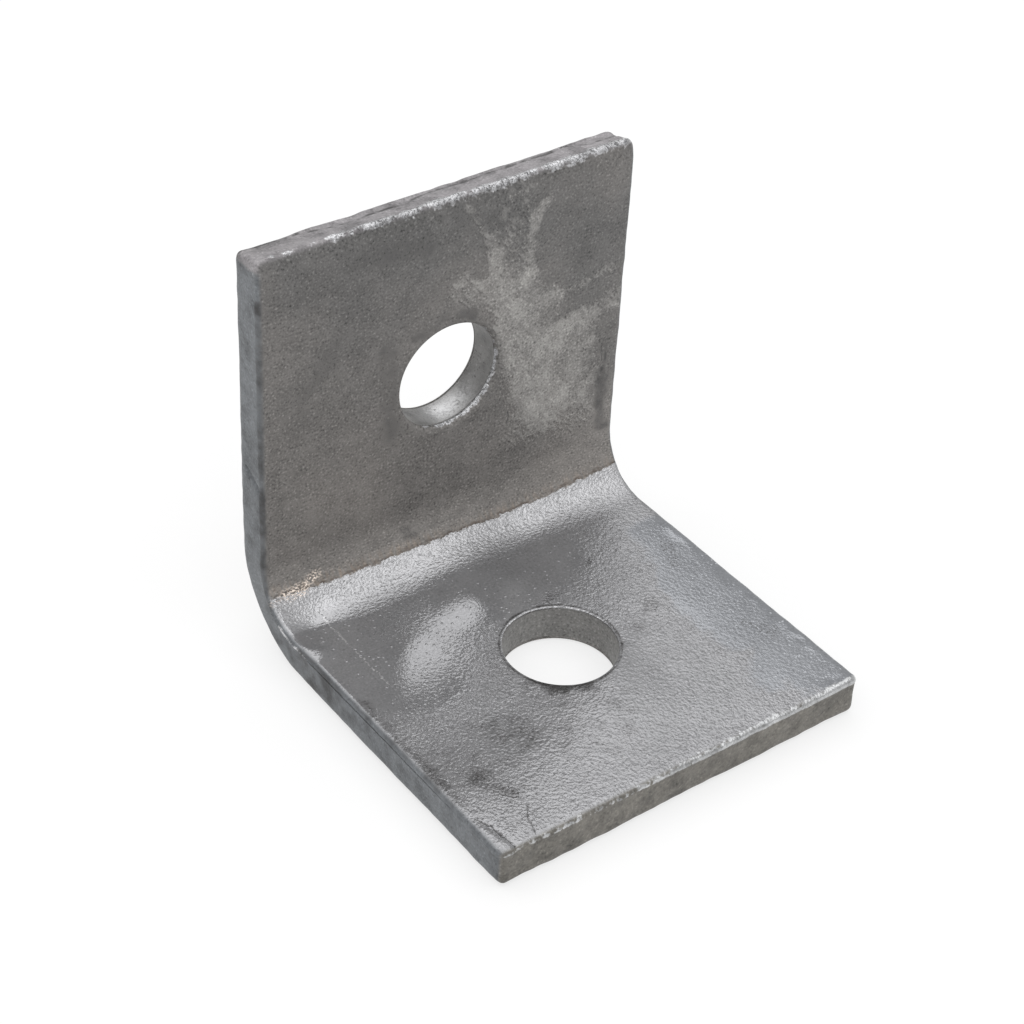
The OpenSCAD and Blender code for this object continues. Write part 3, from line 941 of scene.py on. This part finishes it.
    @staticmethod
    def _lines(tree: bpy.types.NodeTree, flat: bpy.types.NodeSocket, strokes: tuple[Stroke, ...],
               deep: float) -> bpy.types.NodeSocket:
        """Draws thin lines by their distance on the flat bar.

        Args:
            tree: Node tree to add to.
            flat: Place on the flat bar.
            strokes: Lines to draw.
            deep: Depth at which they lie.

        Returns:
            Strength of the strongest line.
        """
        stray = add(tree, "TexNoise", None, "Color", Vector=flat, Scale=1 / 0.7, Detail=3.0)
        here = add(tree, "VectorMath", {"operation": "MULTIPLY_ADD"}, _0=stray, _1=(0.9, 0.9, 0.0), _2=flat)
        best = None
        for stroke in strokes:
            for a, b in zip(stroke.points, stroke.points[1:]):
                start = Vector((a[0] + 0.45, a[1] + 0.45, deep))
                step = Vector((b[0] - a[0], b[1] - a[1], 0.0))
                gap = add(tree, "VectorMath", {"operation": "SUBTRACT"}, _0=here, _1=start)
                part = add(tree, "VectorMath", {"operation": "DOT_PRODUCT"}, "Value", _0=gap, _1=step / step.length_squared)
                part = add(tree, "Clamp", Value=part)
                foot = add(tree, "VectorMath", {"operation": "SCALE"}, _0=step, Scale=part)
                far = add(tree, "VectorMath", {"operation": "DISTANCE"}, "Value", _0=gap, _1=foot)
                line = add(tree, "MapRange", Value=far, From_Min=stroke.half_width * 0.5, From_Max=stroke.half_width * 1.3,
                           To_Min=stroke.strength, To_Max=0.0)
                best = line if best is None else add(tree, "Math", LARGER, _0=best, _1=line)
        return best


@dataclass
class Bracket:
    """The whole bracket: one bent bar in its zinc."""

    bar: BentBar = BentBar()
    finish: HotDipZinc = HotDipZinc()

    def build(self) -> bpy.types.Object:
        """Makes the bracket and puts it in place of its solid.

        Returns:
            The new object.
        """
        shell = BarShell(BarGrid(self.bar))
        points = self.bar.place(shell.along, shell.across, shell.deep)
        points = self._spread_sides(shell, points)
        coat = ZincCoat(shell)
        points = points + self._normals(points, shell.quads) * coat.relief()[:, None]
        mesh = bpy.data.meshes.new("galvanised_bracket")
        mesh.from_pydata((points * MM).tolist(), [], shell.quads.tolist())
        mesh.update()
        mesh.polygons.foreach_set("use_smooth", np.ones(len(mesh.polygons), bool))
        for name, values in coat.masks().items():
            mesh.attributes.new(name, "FLOAT", "POINT").data.foreach_set("value", values)
        mesh.attributes.new("flat", "FLOAT_VECTOR", "POINT").data.foreach_set("vector", coat.places.ravel())
        mesh.uv_layers.new(name="OFBake").data.foreach_set("uv", shell.maps.ravel())
        piece = bpy.data.objects.new("galvanised_bracket", mesh)
        bpy.context.scene.collection.objects.link(piece)
        mesh.materials.append(self.finish.make(coat.marks, self.bar.thickness))
        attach(piece, "root")
        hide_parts("bracket")
        return piece

    def _spread_sides(self, shell: BarShell, points: Array) -> Array:
        """Swells the bar's sides at the inside of the bend and draws them in at the outside.

        Args:
            shell: The flat skin.
            points: Its bent points.

        Returns:
            The moved points.
        """
        bar = self.bar
        turn = (shell.along - bar.straights[0] - bar.arc / 2) / (bar.arc * 0.42)
        near = 1 - smooth_step(0.0, 6.0, bar.width / 2 - abs(shell.across))
        most = np.where(shell.across < 0, 0.55, 0.2)
        swell = np.exp(-turn**2) * near * (most * shell.deep / bar.thickness - 0.25)
        moved = points.copy()
        moved[:, 0] += np.sign(shell.across) * swell
        return moved

    @staticmethod
    def _normals(points: Array, quads: Array) -> Array:
        """Averages the outward direction of the quads round each point.

        Args:
            points: Points, one to a row.
            quads: Corners of each quad.

        Returns:
            Unit directions, one to a row.
        """
        a, b, c, d = (points[quads[:, k]] for k in range(4))
        flat = np.cross(c - a, d - b)
        total = np.zeros_like(points)
        for k in range(4):
            np.add.at(total, quads[:, k], flat)
        return total / np.maximum(np.linalg.norm(total, axis=1, keepdims=True), 1e-12)


@dataclass(frozen=True)
class Studio:
    """Plain pale floor, one broad soft light overhead, and a dim room."""

    floor_colour: str = "#f2f2f2"
    floor_half: float = 3.0
    floor_lift: float = 0.7
    lamp_place: tuple[float, float, float] = (-0.065, 0.09, 0.55)
    lamp_wide: tuple[float, float] = (1.07, 1.32)
    lamp_power: float = 5.3
    room: str = "#ffffff"
    room_strength: float = 0.55

    def build(self) -> None:
        """Makes the floor, the lamp and the room."""
        mesh = bpy.data.meshes.new("floor")
        h = self.floor_half
        mesh.from_pydata([(-h, -h, 0), (h, -h, 0), (h, h, 0), (-h, h, 0)], [], [(0, 1, 2, 3)])
        floor = bpy.data.objects.new("floor", mesh)
        floor.location.z = cad_box[0][2] - 0.0002
        bpy.context.scene.collection.objects.link(floor)
        mesh.materials.append(self._floor_material())
        data = bpy.data.lights.new("overhead", "AREA")
        data.shape, data.energy = "RECTANGLE", self.lamp_power
        data.size, data.size_y = self.lamp_wide
        lamp = bpy.data.objects.new("overhead", data)
        lamp.location = self.lamp_place
        bpy.context.scene.collection.objects.link(lamp)
        world = bpy.data.worlds.new("room")
        bpy.context.scene.world = world
        world.use_nodes = True
        shade = world.node_tree.nodes["Background"]
        shade.inputs["Color"].default_value = linear(self.room)
        shade.inputs["Strength"].default_value = self.room_strength

    def _floor_material(self) -> bpy.types.Material:
        """Makes white paper that glows a little to the camera and in reflections.

        Returns:
            The floor's material, which still takes the shadow.
        """
        material = bpy.data.materials.new("white_paper")
        material.use_nodes = True
        tree = material.node_tree
        tree.nodes.clear()
        camera = add(tree, "LightPath", None, "Is Camera Ray")
        glossy = add(tree, "LightPath", None, "Is Glossy Ray")
        passing = add(tree, "LightPath", None, "Is Transmission Ray")
        seen = add(tree, "Math", LARGER, _0=camera, _1=add(tree, "Math", LARGER, _0=glossy, _1=passing))
        part = add(tree, "Math", TIMES, _0=seen, _1=self.floor_lift)
        paper = add(tree, "BsdfDiffuse", Color=linear(self.floor_colour))
        glow = add(tree, "Emission", Color=(1.0, 1.0, 1.0, 1.0), Strength=1.0)
        add(tree, "OutputMaterial", Surface=add(tree, "MixShader", _0=part, _1=paper, _2=glow))
        return material


@dataclass(frozen=True)
class Viewpoint:
    """The camera, where the photograph was taken from."""

    azimuth: float = -38.279
    elevation: float = 37.929
    roll: float = 3.35
    distance_mm: float = 269.52
    target_mm: tuple[float, float, float] = (-0.533, 9.628, 18.0)
    lens: float = 84.081
    sensor: float = 36.0

    def build(self) -> None:
        """Makes the camera and gives it to the scene."""
        a, e, r = (math.radians(v) for v in (self.azimuth, self.elevation, self.roll))
        back = Vector((math.sin(a) * math.cos(e), -math.cos(a) * math.cos(e), math.sin(e)))
        level = Vector((math.cos(a), math.sin(a), 0.0))
        rise = back.cross(level)
        right = math.cos(r) * level + math.sin(r) * rise
        up = math.cos(r) * rise - math.sin(r) * level
        data = bpy.data.cameras.new("camera")
        data.sensor_fit, data.sensor_width, data.lens = "HORIZONTAL", self.sensor, self.lens
        data.clip_start = 0.01
        camera = bpy.data.objects.new("camera", data)
        spot = (Vector(self.target_mm) + back * self.distance_mm) * MM
        camera.matrix_world = Matrix.Translation(spot) @ Matrix((right, up, back)).transposed().to_4x4()
        bpy.context.scene.collection.objects.link(camera)
        bpy.context.scene.camera = camera


def main() -> None:
    """Builds the scene."""
    logging.basicConfig(level=logging.INFO, format="%(name)s: %(message)s")
    Viewpoint().build()
    Studio().build()
    piece = Bracket().build()
    LOG.info("%s: %d quads", piece.name, len(piece.data.polygons))
    bpy.context.scene.view_settings.view_transform = "Standard"


if __name__ == "__main__":
    main()
